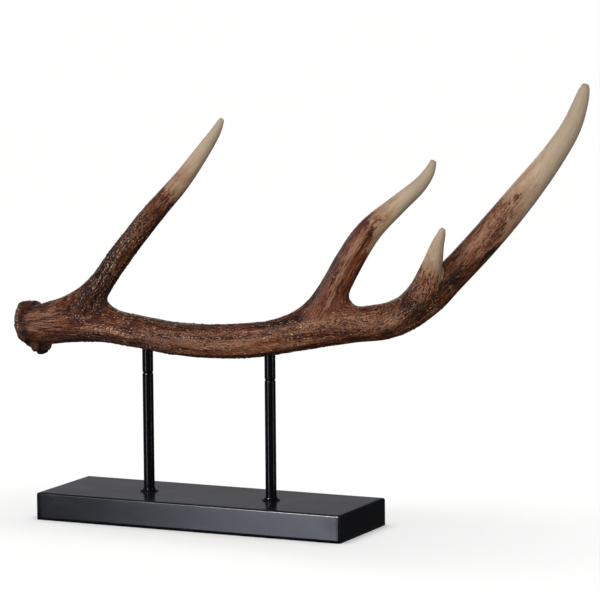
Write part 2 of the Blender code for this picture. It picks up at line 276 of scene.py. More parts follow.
burrPlan = {
    "centre": (-187.5, 12, 171.8),
    "facing": (-0.91, 0.32, -0.24),
    "ringRadius": 18.2,
    "rimRadius": 4.6,
    "knobs": 24,
    "knobRadius": (2.4, 3.6),
    "knobReach": (0.8, 2.2),
    "knobShift": (-3.0, 2.0),
    # knobs that stand out further: degrees round the rim, reach, shift, radius
    "bigKnobs": [
        (-22, 2.4, -1.0, 4.0), (-34, 3.2, -1.0, 4.2), (-50, 2.2, -1.0, 4.2), (-128, 1.2, -1.5, 4.0),
    ],
    "seed": 7,
    "sealRadius": 20.0,
    "sealBulge": 7.0,
    "lumps": [(-179, 13, 149.5, 6.0), (-173, 11, 152, 4.6), (-184, 18, 147, 5.0), (-181, 3, 151, 4.4)],
    # where the burr, the lump below it and the shed face begin and are full
    "rimEdge": (14.0, 18.5),
    "rimDepth": (-11.0, -4.0),
    "lumpMiddle": (-179, 12, 150),
    "lumpEdge": (7.0, 13.0),
    "sealDepth": (1.5, 4.5),
    "sealEdge": (15.0, 19.0),
    # coral-like lumps: size, height, further height on the low lump, seed
    "coral": [(3.4, 0.3, 0.2, 41), (1.9, 0.16, 0.2, 43)],
    # pores and the dimples and swells of the shed face: size, depth, seed
    "pores": (2.6, 1.0, 47),
    "poreShare": (0.35, 0.7),
    "dimples": (1.7, 1.0, 53),
    "dimpleShare": (0.2, 0.6),
    "swells": (5.0, 0.45, 59),
}

ridgePlan = {
    "count": 9, "fineCount": 14, "height": 0.28, "sway": 1.5, "waveLength": 90.0,
    "start": 20.0, "end": 430.0, "fade": 120.0, "least": 0.15, "clear": (0.2, 0.6),
}


def smoothPath(stations, step):
    # points about a step apart on a smooth curve through the stations
    known = np.array(stations, float)
    known = np.vstack([2 * known[0] - known[1], known, 2 * known[-1] - known[-2]])
    found = []
    for a, b, c, d in zip(known, known[1:], known[2:], known[3:]):
        spans = [math.sqrt(np.linalg.norm((q - p)[:3])) for p, q in ((a, b), (b, c), (c, d))]
        t0, t1, t2, t3 = np.cumsum([0.0] + spans)
        count = max(2, round(np.linalg.norm((c - b)[:3]) / step))
        for t in np.linspace(t1, t2, count, endpoint=False):
            def between(p, q, low, high):
                return (p * (high - t) + q * (t - low)) / (high - low)

            ab, bc, cd = between(a, b, t0, t1), between(b, c, t1, t2), between(c, d, t2, t3)
            found.append(between(between(ab, bc, t0, t2), between(bc, cd, t1, t3), t1, t2))
    found.append(known[-2])
    return np.array(found)


def limbRoute(stations):
    # a limb's middle line with its length so far, its radius and a frame that faces the front
    path = smoothPath(stations, antlerPlan["routeStep"])
    centres = path[:, :3]
    tangents = np.gradient(centres, axis=0)
    tangents /= np.linalg.norm(tangents, axis=1)[:, None]
    front = np.array([0.0, -1.0, 0.0]) + tangents * tangents[:, 1:2]
    front /= np.linalg.norm(front, axis=1)[:, None]
    steps = np.linalg.norm(np.diff(centres, axis=0), axis=1)
    return {
        "centres": centres,
        "radii": path[:, 3],
        "along": np.concatenate([[0.0], np.cumsum(steps)]),
        "tangents": tangents,
        "front": front,
        "upward": np.cross(front, tangents),
    }


def placeOnLimb(points, route):
    # length along the limb, angle round it (0 is the front, 90 degrees the top) and depth outside it
    centres = route["centres"]
    nearest = np.empty(len(points), int)
    size = np.sum(centres ** 2, axis=1)
    batch = 20000
    for first in range(0, len(points), batch):
        part = points[first:first + batch]
        nearest[first:first + batch] = np.argmin(size - 2 * part @ centres.T, axis=1)
    spoke = points - centres[nearest]
    forward = np.sum(spoke * route["tangents"][nearest], axis=1)
    along = route["along"][nearest] + forward
    spoke -= forward[:, None] * route["tangents"][nearest]
    up = np.sum(spoke * route["upward"][nearest], axis=1)
    out = np.sum(spoke * route["front"][nearest], axis=1)
    radius = np.interp(along, route["along"], route["radii"])
    outside = np.linalg.norm(points - centres[nearest], axis=1) - radius
    return along, np.arctan2(up, out), radius, outside


def addLimb(shape, stations, extraRadius):
    curve = bpy.data.curves.new("limb", "CURVE")
    curve.dimensions = "3D"
    curve.bevel_depth = mm
    curve.bevel_resolution = 8
    curve.use_fill_caps = True
    path = smoothPath(stations, antlerPlan["limbStep"])
    spline = curve.splines.new("POLY")
    spline.points.add(len(path) - 1)
    for point, (x, y, z, radius) in zip(spline.points, path):
        point.co = (x * mm, y * mm, z * mm, 1.0)
        point.radius = radius + extraRadius
    limb = addObject("limb", curve)
    mesh = bakedMesh(limb, "limb")
    bpy.data.objects.remove(limb, do_unlink=True)
    shape.from_mesh(mesh)
    bpy.data.meshes.remove(mesh)


def addBall(shape, radius, matrix):
    bmesh.ops.create_uvsphere(shape, u_segments=20, v_segments=12, radius=radius * mm, matrix=matrix)


def burrFrame():
    forward = Vector(burrPlan["facing"]).normalized()
    side = Vector((0.0, 0.0, 1.0))
    side = (side - forward * side.dot(forward)).normalized()
    upright = Matrix((side, forward.cross(side), forward)).transposed().to_4x4()
    upright.translation = Vector(burrPlan["centre"]) * mm
    return upright


def addBurr(shape):
    plan = burrPlan
    draw = random.Random(plan["seed"])
    upright = burrFrame()
    for index in range(plan["knobs"]):
        angle = math.tau * (index + draw.uniform(-0.25, 0.25)) / plan["knobs"]
        outward = Vector((math.cos(angle), math.sin(angle), 0.0)) * mm
        rim = outward * plan["ringRadius"]
        addBall(shape, plan["rimRadius"], upright @ Matrix.Translation(rim))
        knob = rim + outward * draw.uniform(*plan["knobReach"])
        knob.z = draw.uniform(*plan["knobShift"]) * mm
        addBall(shape, draw.uniform(*plan["knobRadius"]), upright @ Matrix.Translation(knob))
    for degrees, reach, shift, radius in plan["bigKnobs"]:
        angle = math.radians(degrees)
        away = plan["ringRadius"] + reach
        knob = Vector((math.cos(angle) * away, math.sin(angle) * away, shift)) * mm
        addBall(shape, radius, upright @ Matrix.Translation(knob))
    flat = Matrix.Diagonal((1.0, 1.0, plan["sealBulge"] / plan["sealRadius"], 1.0))
    addBall(shape, plan["sealRadius"], upright @ flat)
    for x, y, z, radius in plan["lumps"]:
        addBall(shape, radius, Matrix.Translation(Vector((x, y, z)) * mm))


def bakeModifiers(holder, name):
    mesh = bakedMesh(holder, name)
    old = holder.data
    holder.modifiers.clear()
    holder.data = mesh
    bpy.data.meshes.remove(old)


def softenWhere(holder, name, weights, iterations):
    # smooths the skin by a weight at each point, kept in twenty steps
    group = holder.vertex_groups.new(name=name)
    levels = 20
    share = np.round(weights * levels).astype(int)
    for level in range(1, levels + 1):
        group.add(np.nonzero(share == level)[0].tolist(), level / levels, "REPLACE")
    soften = holder.modifiers.new(name, "SMOOTH")
    soften.iterations = iterations
    soften.vertex_group = name


def softAntler():
    # every limb and the burr fused into one skin, with the forks eased
    plan = antlerPlan
    shape = bmesh.new()
    for stations in [plan["beam"], plan["brow"], plan["tray"], plan["crown"], *plan["webs"]]:
        addLimb(shape, stations, plan["extraRadius"])
    addBurr(shape)
    rough = bpy.data.meshes.new("antler")
    shape.to_mesh(rough)
    shape.free()
    holder = addObject("antler", rough)
    fuse = holder.modifiers.new("fuse", "REMESH")
    fuse.mode = "VOXEL"
    fuse.voxel_size = plan["voxel"] * mm
    soften = holder.modifiers.new("soften", "SMOOTH")
    soften.iterations = plan["softenAll"]
    bakeModifiers(holder, "antlerFused")

    points = readPoints(holder.data)
    atFork = np.zeros(len(points))
    for centre, reach in plan["forks"]:
        away = np.linalg.norm(points - centre, axis=1)
        atFork = np.maximum(atFork, 1 - smoothStep(away, reach * 0.6, reach * 1.3))
    softenWhere(holder, "forks", atFork, plan["softenForks"])
    bakeModifiers(holder, "antlerSoft")
    holder.vertex_groups.clear()
    return holder


routes = {name: limbRoute(antlerPlan[name]) for name in ("beam", "brow", "tray", "crown")}
tineOffsets = {"brow": 1000.0, "tray": 2000.0, "crown": 3000.0}      # keeps their grain apart
forkBlend = 3.5     # millimetres over which a tine's grain gives way to the beam's

# where the worn, pale tips begin and are full, in millimetres along each limb
tipPlan = {"beam": (500, 563), "brow": (150, 205), "tray": (98, 136), "crown": (52, 88)}
# how much further down the pale reaches on the outer side, and how narrow that band is
tipSlant = {"beam": (0.5, 2), "brow": (0.2, 1), "tray": (0.9, 3), "crown": (0.25, 1)}

# how gritty the bark is: where it changes along each limb, before and after
gritPlan = {
    "beam": (410, 460, 1.0, 0.45), "brow": (110, 150, 1.0, 0.6),
    "tray": (0, 30, 0.8, 0.35), "crown": (50, 70, 1.0, 0.4),
}

# stains, wear and painted shade on each limb: along, angle, reach along, reach around (mm), strength
stainAndShadePlan = {
    "straight": {
        "beam": [(14, 8, 40, 30, 1), (90, -12, 40, 7, 0.5)],
    },
    "warm": {
        "beam": [
            (46, 12, 10, 4, 1.4), (200, -14, 30, 4, 1), (245, -24, 34, 5, 1.7), (288, -30, 30, 5, 1.5),
            (446, -10, 28, 13, 3), (22, -42, 12, 6, 0.6), (190, 40, 40, 5, 0.5), (350, -48, 40, 5, 0.6),
            (470, -48, 20, 3, 0.8),
        ],
        "tray": [(58, -42, 30, 4, 1.3), (89, -54, 16, 4, 1.2), (20, -20, 20, 8, 0.7)],
        "brow": [(100, -47, 40, 4, 1.4)],
        "crown": [(26, -60, 16, 6, 0.7)],
    },
    "pale": {
        "beam": [
            (28, 40, 20, 0.8, 1.8), (26, 20, 22, 0.9, 2), (24, -9, 20, 0.8, 1.6), (38, 52, 8, 3, 0.8),
            (15, 5, 14, 7, 0.6), (157, 13, 30, 5, 0.8), (192, 12, 34, 5, 1), (227, 6, 32, 6, 1),
            (262, -26, 18, 3, 0.5), (288, -33, 20, 3, 1.1), (320, 20, 46, 6, 0.6), (26, 14, 26, 11, 0.8),
            (482, -4, 26, 9, 1.4), (350, 2, 40, 8, 0.4), (110, -14, 40, 4, 0.5), (462, -23, 8, 1.6, 3.2),
            (476, -39, 9, 1.6, 3.2), (490, -55, 9, 1.6, 3.2), (504, -61, 9, 1.8, 3.2),
            (519, -56, 11, 2.2, 3), (478, 7, 9, 2.2, 1.5), (490, 12, 10, 2.4, 1.5), (504, 9, 12, 3.4, 1.4),
            (397, -54, 16, 1.5, 1.5), (413, -52, 14, 1.5, 1.5), (439, -66, 12, 1.3, 1.3),
        ],
        "tray": [(31, -19, 13, 2.8, 1.7), (55, -14, 15, 2.8, 1.7), (82, -3, 18, 2.8, 1.7)],
        "brow": [(94, -8, 16, 2, 1), (70, -18, 16, 2, 1.2), (48, -14, 14, 2, 1), (116, 24, 14, 2, 0.7)],
    },
    "cool": {
        "beam": [
            (148, -34, 10, 5, 0.8), (268, 26, 15, 5, 0.9), (466, 20, 12, 5, 0.9), (4, 4, 10, 9, 0.8),
            (60, -48, 40, 6, 0.7), (178, 8, 60, 6, 0.6),
        ],
        "brow": [(86, 30, 44, 4, 1.2)],
        "tray": [(50, 34, 44, 4, 1.2)],
        "crown": [(48, 40, 12, 5, 0.5)],
    },
    # painted shade: the dark patches on the tops and undersides of the limbs, in the forks and round the
    # burr, mixed with real dark stains
    "dark": {
        "beam": [
            (200, 82, 90, 7, 1.2), (200, -84, 130, 4, 1), (350, -92, 60, 6, 0.8), (30, 31, 18, 0.8, 1.2),
            (26, 6, 20, 0.7, 0.8), (64, -46, 50, 5, 0.8), (31, -38, 14, 5, 0.9), (112, -44, 34, 4, 0.8),
            (275, 54, 24, 5, 1.3), (296, -9, 14, 2, 1), (331, -24, 30, 3, 0.7), (344, -46, 30, 2.4, 0.8),
            (378, -32, 22, 3, 1), (462, -46, 10, 1.6, 2), (478, -64, 11, 1.8, 2.2),
            (496, -76, 14, 1.8, 1.8), (482, 58, 44, 3, 1.1), (442, -14, 24, 14, 2), (72, 70, 34, 13, 0.7),
            (25, 60, 30, 9, 0.7), (165, 52, 46, 6, 0.8), (340, 14, 56, 9, 0.5), (378, 10, 20, 10, 0.5),
            (9, -14, 2.6, 7, 1.3), (7, 30, 2.4, 5, 1), (7, -42, 5, 6, 1.4),
        ],
        "tray": [
            (50, -32, 20, 0.9, 1.2), (87, -30, 14, 1, 1.2), (104, -26, 7, 1.6, 1.2),
            (60, 64, 60, 2.6, 1.8), (60, -98, 60, 4, 1.2),
        ],
        "brow": [
            (100, -78, 60, 3.5, 1.8), (50, -72, 40, 5, 1.9), (86, 54, 60, 3, 1.4), (66, 5, 52, 18, 1.8),
            (126, 0, 20, 16, 0.8),
        ],
        "crown": [(32, -15, 13, 14, 1.7)],
    },
    "worm": {
        "beam": [
            (278, 16, 18, 4, 1), (306, 24, 24, 4.5, 1.2), (335, 22, 24, 5, 1.2), (360, 8, 18, 6, 1.2),
            (378, -8, 16, 6, 1.1), (210, -12, 34, 3.2, 1.1), (258, -27, 36, 3.6, 1.1),
            (300, 180, 90, 12, 0.8), (515, 4, 22, 10, 0.8),
        ],
        "crown": [(50, -10, 14, 9, 1.2), (58, -48, 12, 4, 1.1)],
        "brow": [(124, 0, 28, 8, 0.7)],
    },
}
stainAndShadeDepth = (3.0, 8.0)      # a stain or a patch of painted shade fades out this far outside its own limb

# rows of small pearls: limb, from, to, rows, spacing, radius, height, how many are kept
pearlRows = [
    ("beam", 60, 150, 36, 2.5, 0.9, 0.45, 0.6),
    ("beam", 150, 300, 34, 2.5, 0.9, 0.42, 0.7),
    ("beam", 300, 430, 30, 2.6, 0.8, 0.34, 0.35),
    ("brow", 8, 120, 28, 2.2, 0.8, 0.42, 0.65),
    ("brow", 120, 170, 20, 2.6, 0.8, 0.3, 0.5),
    ("tray", 8, 70, 26, 2.8, 0.7, 0.24, 0.3),
    ("crown", 8, 54, 26, 2.4, 0.85, 0.36, 0.45),
]
# straight rows of whiter pearls: limb, from, to, first and last angle, spacing, radius, height
pearlLines = [
    ("beam", 48, 74, 31, 27, 2.0, 0.7, 0.4), ("beam", 64, 92, 22, 10, 2.1, 0.7, 0.4),
    ("beam", 72, 114, 12, -6, 2.1, 0.75, 0.42), ("beam", 62, 104, -3, -5, 2.0, 0.75, 0.42),
    ("beam", 84, 126, -9, -15, 2.1, 0.75, 0.42), ("beam", 98, 146, -2, -10, 2.3, 0.7, 0.38),
    ("beam", 150, 200, 24, 18, 2.8, 0.7, 0.35), ("brow", 52, 104, -22, -4, 2.0, 0.75, 0.42),
    ("brow", 84, 136, 2, 26, 2.3, 0.7, 0.4), ("brow", 36, 84, -2, 8, 2.2, 0.7, 0.4),
]
pearlSeed = 31


def aroundPoints(place, along, across, offset=0.0):
    # grain coordinates: drawn out along the limb, fine across it
    length, angle, radius, _ = place
    return np.column_stack([
        (length + offset) / along,
        radius * np.cos(angle) / across,
        radius * np.sin(angle) / across,
    ])


# the bark's low relief: size along, size across, height, seed
reliefPlan = {"ridges": [(46.0, 4.6, 0.2, 3), (22.0, 2.3, 0.2, 11)], "dents": (9.0, 6.0, 0.14, 23)}


def grainRelief(place, offset):
    # low lengthwise ridges that fork and run together, in millimetres
    total = 0.0
    for along, across, height, seed in reliefPlan["ridges"]:
        total = total + height * (1 - 2.4 * np.abs(lumps(aroundPoints(place, along, across, offset), seed)))
    along, across, height, seed = reliefPlan["dents"]
    return total + height * lumps(aroundPoints(place, along, across, offset), seed)


def beamRidges(place):
    # the beam's main ridges, as the solid has them
    plan = ridgePlan
    length, angle, radius, outside = place
    sway = plan["sway"] * np.sin(length / plan["waveLength"])
    crest = np.cos(plan["count"] * angle + sway) + 0.5 * np.cos(plan["fineCount"] * angle - sway)
    onBeam = 1 - smoothStep(outside / radius, *plan["clear"])
    fadeIn = np.clip(length / plan["start"], 0.0, 1.0)
    fadeOut = np.clip((plan["end"] - length) / plan["fade"], plan["least"], 1.0)
    return plan["height"] * crest * onBeam * fadeIn * fadeOut


# a short row down the middle of the burr's near rim
rimPearls = {
    "degrees": (-50, -60, -70, -78, -86, -94), "radius": 1.15, "height": 0.5,
    "lean": (0.84, -0.54), "clear": 0.8,
}


def pearlsOnRim():
    plan = burrPlan
    upright = burrFrame().to_3x3()
    facing = upright @ Vector((0.0, 0.0, 1.0))
    lean, back = rimPearls["lean"]
    found = []
    for degrees in rimPearls["degrees"]:
        angle = math.radians(degrees)
        outward = upright @ Vector((math.cos(angle), math.sin(angle), 0.0))
        point = Vector(plan["centre"]) + outward * plan["ringRadius"]
        point += (outward * lean + facing * back) * (plan["rimRadius"] + rimPearls["clear"])
        found.append((point, rimPearls["radius"], rimPearls["height"], 1.0, np.array(outward)))
    return found


def pearlRuns(draw):
    # the scattered rows all round, then the straight ones
    runs = []
    for limb, start, end, rows, *sizes in pearlRows:
        for row in range(rows):
            angle = math.tau * (row + draw.uniform(-0.3, 0.3)) / rows
            runs.append((limb, start, end, angle, angle, *sizes, 1.0))
    for limb, start, end, first, last, *sizes in pearlLines:
        runs.append((limb, start, end, math.radians(first), math.radians(last), *sizes, 1.7, 0.15))
    return runs


def pearlPlaces():
    # seeded pearls: point, radius, height, paleness and grain direction
    draw = random.Random(pearlSeed)
    found = pearlsOnRim()
    for limb, start, end, first, last, spacing, radius, height, kept, stray in pearlRuns(draw):
        route = routes[limb]
        phase = draw.uniform(0.0, 6.0)
        length = start + draw.uniform(0.0, spacing)
        while length < end:
            index = min(np.searchsorted(route["along"], length), len(route["along"]) - 1)
            sway = 0.08 * math.sin(length / 30.0 + phase) + draw.uniform(-0.06, 0.06)
            angle = first + (last - first) * (length - start) / (end - start) + stray * sway
            clump = 0.75 + 0.5 * math.sin(length / 13.0 + phase * 3)
            if draw.random() < kept * clump:
                front, upward = route["front"][index], route["upward"][index]
                spoke = front * math.cos(angle) + upward * math.sin(angle)
                point = route["centres"][index] + spoke * route["radii"][index]
                size = draw.uniform(0.6, 1.2)
                lifted = height * size * draw.uniform(0.7, 1.1)
                paleness = draw.uniform(1.0 - 0.65 * stray, 1.0)
                found.append((point, radius * size, lifted, paleness, route["tangents"][index]))
            length += spacing * draw.uniform(0.8, 1.35)
    return found


def stampPearls(points, tree, pearls):
    # how far the pearls lift each point, and how near each point is to a pearl's top
    lift = np.zeros(len(points))
    top = np.zeros(len(points))
    for point, radius, height, paleness, grain in pearls:
        _, index, gap = tree.find(point)
        if gap > 3.5:
            continue
        centre = points[index]
        for co, near, distance in tree.find_range(centre, radius * 1.7):
            away = np.array(co) - centre
            drawn = away - grain * (away @ grain) * 0.45
            part = 1 - (drawn @ drawn) / (radius * radius)
            if part > 0:
                lift[near] = max(lift[near], height * part)
                # the pale tops are partly worn and partly a painted highlight
                top[near] = max(top[near], part * (0.4 + 0.6 * paleness))
    return lift, top


# one mask for each kind of mark; the dark one is partly painted shade
def stainsAndShade(places):
    masks = {}
    for kind, limbs in stainAndShadePlan.items():
        total = np.zeros(len(places["beam"][0]))
        for limb, patches in limbs.items():
            length, around, radius, outside = places[limb]
            near = 1 - smoothStep(outside, *stainAndShadeDepth)
            for along, angle, reachAlong, reachAround, strength in patches:
                turn = np.mod(around - math.radians(angle) + math.pi, math.tau) - math.pi
                spread = ((length - along) / reachAlong) ** 2 + (turn * radius / reachAround) ** 2
                total = np.maximum(total, strength * near * np.exp(-spread))
        masks[kind] = total
    return masks


def nearTines(places):
    # which tine each point is nearest to, its place on it, and how much it belongs to it
    tines = list(tineOffsets)
    depths = np.array([places[name][3] for name in tines])
    nearest = np.argmin(depths, axis=0)
    share = smoothStep(places["beam"][3] - np.min(depths, axis=0), -forkBlend, forkBlend)
    tinePlace = [np.choose(nearest, [places[name][part] for name in tines]) for part in range(4)]
    offset = np.choose(nearest, [tineOffsets[name] for name in tines])
    onLimb = {name: (share >= 0.5) & (nearest == index) for index, name in enumerate(tines)}
    onLimb["beam"] = share < 0.5
    return share, tinePlace, offset, onLimb


def wearOnLimbs(places, onLimb, count):
    # how worn and pale each point is (full at 1) and how gritty
    tips = np.full(count, -1.0)
    grit = np.zeros(count)
    for name, (start, full) in tipPlan.items():
        length, around = places[name][:2]
        low, high, before, after = gritPlan[name]
        slant, narrow = tipSlant[name]
        reach = (length - start) / (full - start) + slant * np.maximum(0.0, -np.sin(around)) ** narrow
        tips = np.where(onLimb[name], np.clip(reach, -1.0, 2.0), tips)
        grit = np.where(onLimb[name], before + (after - before) * smoothStep(length, low, high), grit)
    return tips, grit


def burrMarks(points, relief):
    # coral-like lumps and pores on the burr, a rough porous face inside it
    plan = burrPlan
    upright = np.array(burrFrame().inverted())
    local = (points * mm) @ upright[:3, :3].T + upright[:3, 3]
    depth = local[:, 2] / mm
    fromAxis = np.linalg.norm(local[:, :2], axis=1) / mm
    fromLump = np.linalg.norm(points - plan["lumpMiddle"], axis=1)
    lump = 1 - smoothStep(fromLump, *plan["lumpEdge"])
    burr = smoothStep(fromAxis, *plan["rimEdge"]) * smoothStep(depth, *plan["rimDepth"])
    burr = np.clip(np.maximum(burr, lump), 0.0, 1.0)
    seal = smoothStep(depth, *plan["sealDepth"]) * (1 - smoothStep(fromAxis, *plan["sealEdge"]))

    coral = 0.0
    for size, height, more, seed in plan["coral"]:
        coral = coral + (height + more * lump) * lumps(points / size, seed)
    size, poreDepth, seed = plan["pores"]
    pores = smoothStep(lumps(points / size, seed), *plan["poreShare"]) * (0.5 + 0.9 * lump)
    relief = relief * (1 - 0.7 * burr) * (1 - 0.9 * seal) + coral * burr
    relief -= (poreDepth + 0.9 * lump) * pores * burr
    size, dimpleDepth, seed = plan["dimples"]
    relief -= dimpleDepth * smoothStep(lumps(points / size, seed), *plan["dimpleShare"]) * seal
    size, swell, seed = plan["swells"]
    relief += swell * lumps(points / size, seed) * seal
    return relief, {"burr": burr, "seal": seal, "pores": pores * burr, "darkLump": lump}


def makeAntler(material):
    antler = softAntler()
    mesh = antler.data
    points = readPoints(mesh)
    normals = readNormals(mesh)
    print("antler skin fused:", len(points), "points")

    places = {name: placeOnLimb(points, route) for name, route in routes.items()}
    tineShare, tinePlace, offset, onLimb = nearTines(places)
    tips, grit = wearOnLimbs(places, onLimb, len(points))
    relief = grainRelief(places["beam"], 0.0) * (1 - tineShare) + grainRelief(tinePlace, offset) * tineShare
    relief = relief * (1 - 0.85 * smoothStep(tips, -0.2, 0.8))
    relief, marks = burrMarks(points, relief + beamRidges(places["beam"]) * (1 - tineShare))

    tree = kdtree.KDTree(len(points))
    for index, point in enumerate(points):
        tree.insert(point, index)
    tree.balance()
    lift, top = stampPearls(points, tree, pearlPlaces())
    barkShare = (1 - 0.9 * smoothStep(tips, -0.2, 0.4)) * (1 - marks["seal"])
    lift *= barkShare
    top *= barkShare
    print("pearls and ridges laid out")

    writePoints(mesh, points + normals * (relief + lift)[:, None])
    marks.update(stainsAndShade(places), tineShare=tineShare, tip=tips, grit=grit, relief=relief, pearl=top)
    marks["beamGrain"] = aroundPoints(places["beam"], 1.0, 1.0)
    marks["tineGrain"] = aroundPoints(tinePlace, 1.0, 1.0, offset)
    for name, mark in marks.items():
        keep(mesh, name, mark)

    thin = antler.modifiers.new("thin", "DECIMATE")
    thin.ratio = antlerPlan["triangles"] / (2 * len(mesh.polygons))
    bakeModifiers(antler, "antler")
    antler.data.shade_smooth()
    antler.data.materials.append(material)
    print("antler done:", len(antler.data.polygons), "faces")
    litWith(antler, "antler")
    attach(antler, "root")
    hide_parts("beam", "brow_tine", "tray_tine", "crown_tine")
    return antler


antlerLook = {
    # the bark's tones from the bottom of its grooves to the worn tops of its ridges
    "bark": [
        (0.04, tone(31, 13, 8)), (0.32, tone(64, 28, 16)), (0.52, tone(100, 50, 31)),
        (0.74, tone(137, 82, 57)), (1.0, tone(196, 148, 116)),
    ],
    "deep": tone(23, 11, 8),
    "tan": tone(188, 140, 108),
    "pearl": tone(222, 180, 150),
    "ivory": tone(203, 179, 152),
    "ivoryLow": tone(160, 120, 92),
    "ivoryStreak": tone(166, 130, 98),
    "tipGrey": tone(170, 158, 138),
    "orange": tone(130, 67, 28),
    "pink": tone(164, 120, 96),
    "blueGrey": tone(92, 76, 74),
    "burrDark": tone(54, 31, 26),
    "burrLight": tone(130, 87, 70),
    "sealBone": tone(170, 146, 118),
    # patterns in the bark: length along the grain, width across it (mm), detail, roughness
    "grain": {
        "streaks": (15.0, 1.2, 3.0, 0.55), "fineStreaks": (8.0, 0.6, 2.0, 0.55),
        "broad": (44.0, 9.0, 2.0, 0.55), "mottle": (3.4, 1.8, 3.0, 0.6),
        "crumbs": (1.5, 0.9, 2.0, 0.55), "blotch": (16.0, 6.0, 3.0, 0.6),
        "bands": (70.0, 1.3, 2.0, 0.55), "wander": (5.0, 1.6, 3.0, 0.6),
    },
    "dots": (2.0, 1.4),         # small beads: length and width
    # how strongly each mark covers the bark
    "warm": 0.9, "cool": 0.75, "pale": 0.85, "dark": 0.55, "paleLines": 0.55, "darkLines": 0.45,
    "specks": 0.75, "pearlFoot": 0.5, "burrCover": 0.85, "darkLump": 0.85,
    "wornEdge": (0.3, 0.54),    # where the pale skin of the tips begins and covers the bark
    "ivoryFull": 1.4,           # and where it is palest
    "roughness": 0.6, "specular": 0.18, "bump": 0.8, "bumpDepth": 0.0006,
}


def antlerMaterial():
    look = antlerLook
    make = newFinish("antlerBone")
    share = make.number("tineShare")
    grains = make.place("beamGrain"), make.place("tineGrain")

    def onBoth(reader, along, across):
        # a pattern drawn out along the limb, read on the beam and on the tine, mixed at the forks
        onBeam, onTine = [reader(make.scaled(grain, (1 / along, 1 / across, 1 / across))) for grain in grains]
        return onBeam + (onTine - onBeam) * share

    def pattern(along, across, detail, roughness):
        return onBoth(lambda place: make.noise(place, 1.0, detail, roughness), along, across)

    streaks, fineStreaks, broad, mottle, crumbs, blotch, bands, wander = [
        pattern(*sizes) for sizes in look["grain"].values()
    ]
    dots = onBoth(make.beads, *look["dots"])
    relief, pearl, tip, burr, seal, dark = [
        make.number(name) for name in ("relief", "pearl", "tip", "burr", "seal", "dark")
    ]
    straight = make.number("straight") * (1 - burr)
    grit = make.number("grit") * (1 - straight * 0.6)

    # bark: one height for colour and bump, so that what stands up is what is worn pale
    lengthwise = ((streaks - 0.5) * 0.9 + (fineStreaks - 0.5) * 0.8) * (1 - straight * 0.4)
    lengthwise = lengthwise + (bands - 0.5) * 1.6 * straight
    height = lengthwise * (1.35 - grit * 0.35) + ((mottle - 0.5) + (crumbs - 0.5) * 1.3) * grit
    # the dark mark, partly painted shade, also lowers the bark level
    level = (height + relief * 0.24 + (broad - 0.5) * 0.7 + 0.5 - dark * 0.2).clamped()
    colour = make.node("ShaderNodeValToRGB", {"stops": look["bark"]}, {"Fac": level})
    lit = level.ramp(0.1, 0.6)
    worm = 1 - make.node("ShaderNodeMath", {"operation": "ABSOLUTE"}, {0: wander - 0.5}).ramp(0.0, 0.06)
    patchy = (blotch.ramp(0.38, 0.6) * 0.7 + 0.3) * (1 - straight * 0.6)
    foot = pearl.ramp(0.0, 0.2) * (1 - pearl.ramp(0.25, 0.55))
    worth = blotch.ramp(0.34, 0.6) * 0.5 + 0.5
    specks = dots.ramp(0.36, 0.1) * mottle.ramp(0.42, 0.6) * blotch.ramp(0.36, 0.56) * grit
    layers = [
        # stains, with painted shade in the dark mark
        (make.number("warm") * lit * look["warm"], "orange"),
        (make.number("cool") * lit * look["cool"], "blueGrey"),
        (make.number("pale") * level.ramp(0.25, 0.7) * look["pale"], "pink"),
        # painted shade on the tops, undersides and forks, together with real dark stains
        ((dark * (1.3 - level)).clamped() * look["dark"], "deep"),
        # hairlines along the grain, pale where they stand up and dark between
        (fineStreaks.ramp(0.56, 0.66) * patchy * look["paleLines"], "tan"),
        (fineStreaks.ramp(0.42, 0.33) * patchy * look["darkLines"], "deep"),
        # thin wandering pale lines where the bark is rubbed
        (worm * make.number("worm") * mottle.ramp(0.36, 0.5), "tan"),
        # pearls: dark round the foot; their pale tops partly worn bone and partly a painted highlight
        (foot * look["pearlFoot"], "deep"),
        (pearl.ramp(0.3, 0.95) * worth, "pearl"),
        (specks * look["specks"], "tan"),
    ]
    for cover, name in layers:
        colour = make.mixed(cover, colour, look[name])

    # burr and the shed face
    quiet = (mottle - 0.5) * 0.6 + (broad - 0.5) * 0.5 + relief * 0.3 + 0.5
    burrColour = make.mixed(quiet.ramp(0.2, 0.85), look["burrDark"], look["burrLight"])
    # the dark mark darkens the burr too, partly as painted shade in its crevices
    burrColour = make.mixed((make.number("pores") + dark * 0.7).clamped(), burrColour, look["deep"])
    # pale pearl tops on the burr, partly worn and partly a painted highlight
    burrColour = make.mixed(pearl.ramp(0.5, 0.95) * 0.8, burrColour, look["pearl"])
    colour = make.mixed(burr * look["burrCover"], colour, burrColour)
    sealLevel = (level + relief * 0.4 + 0.15).ramp(0.0, 0.8)
    colour = make.mixed(seal, colour, make.mixed(sealLevel, look["burrDark"], look["sealBone"]))
    # the low lump under the burr drawn darker
    colour = make.mixed(make.number("darkLump") * look["darkLump"], colour, look["deep"])

    # worn pale tips with a ragged edge
    ragged = tip + (blotch - 0.5) * 1.3 + (streaks - 0.5) * 0.7 + (mottle - 0.5) * 0.7
    worn = ragged.ramp(*look["wornEdge"])
    ivory = make.mixed(ragged.ramp(look["wornEdge"][0], look["ivoryFull"]), look["ivoryLow"], look["ivory"])
    ivory = make.mixed(streaks.ramp(0.56, 0.32) * 0.3, ivory, look["ivoryStreak"])
    ivory = make.mixed(fineStreaks.ramp(0.55, 0.3) * 0.22, ivory, look["ivoryStreak"])
    ivory = make.mixed(tip.ramp(1.0, 1.9) * 0.5, ivory, look["tipGrey"])
    colour = make.mixed(worn, colour, ivory)

